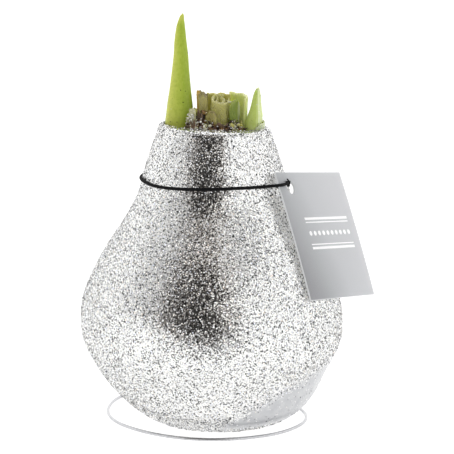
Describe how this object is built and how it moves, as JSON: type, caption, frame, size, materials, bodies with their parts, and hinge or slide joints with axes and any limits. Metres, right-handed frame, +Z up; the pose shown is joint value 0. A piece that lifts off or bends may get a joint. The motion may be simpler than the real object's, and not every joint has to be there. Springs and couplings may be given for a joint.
{
  "type": "waxed amaryllis bulb on a wire stand",
  "caption": "Amaryllis bulb in a glittered wax coat with green shoots and cut leaf bases at its neck, spiked on a bent wire stand, with a card tag on an elastic cord.",
  "frame": {"origin": "on the surface the stand rests on, under the middle of the bulb, on the flat underside of the wire that runs there", "axes": "+Z up through the bulb to its neck, -Y towards the side seen from the front, +X towards the side where the tag hangs"},
  "size_m": [0.1019, 0.0905, 0.1406],
  "materials": {
    "glitter_wax": "wax poured round the bulb and covered in fine silver glitter",
    "bulb_flesh": "dry brown bulb scales, satin",
    "shoot_green": "smooth young leaf, satin with a slight sheen",
    "cut_leaf_olive": "cut leaf base, dull olive, fibrous",
    "cut_leaf_bright": "cut leaf base, pale green, moist",
    "cut_leaf_dark": "cut leaf base, dark green",
    "stump_amber": "amber, translucent cut stump",
    "dry_tunic": "papery brown dry skin, torn",
    "waxed_scale": "old scale caught in the glittered wax",
    "sheath_pale": "thin pale sheath, translucent",
    "stand_wire": "bright bent wire",
    "elastic_cord": "black braided elastic cord",
    "tag_card": "silver-grey card, satin, plain"
  },
  "bodies": {
    "root": {"wax_coat": "glitter_wax", "bulb": "bulb_flesh", "tall_shoot": "shoot_green", "short_shoot": "shoot_green", "core_leaf_roll": "cut_leaf_olive", "core_leaf_inner": "cut_leaf_bright", "cut_stump_amber": "stump_amber", "leaf_base_dark": "cut_leaf_dark", "leaf_base_bright": "cut_leaf_bright", "leaf_base_back": "cut_leaf_olive", "leaf_base_rear": "cut_leaf_olive", "outer_scale_back": "cut_leaf_olive", "outer_scale_front": "cut_leaf_olive", "outer_scale_olive": "cut_leaf_olive", "outer_scale_right": "cut_leaf_olive", "dry_tunic_left": "dry_tunic", "dry_tunic_middle": "dry_tunic", "dry_tunic_front": "dry_tunic", "dry_tunic_back": "dry_tunic", "dry_tunic_right": "dry_tunic", "waxed_scale_left": "waxed_scale", "short_shoot_sheath": "sheath_pale", "wire_stand": "stand_wire", "neck_cord": "elastic_cord", "hang_tag": "tag_card"}
  },
  "joints": []
}
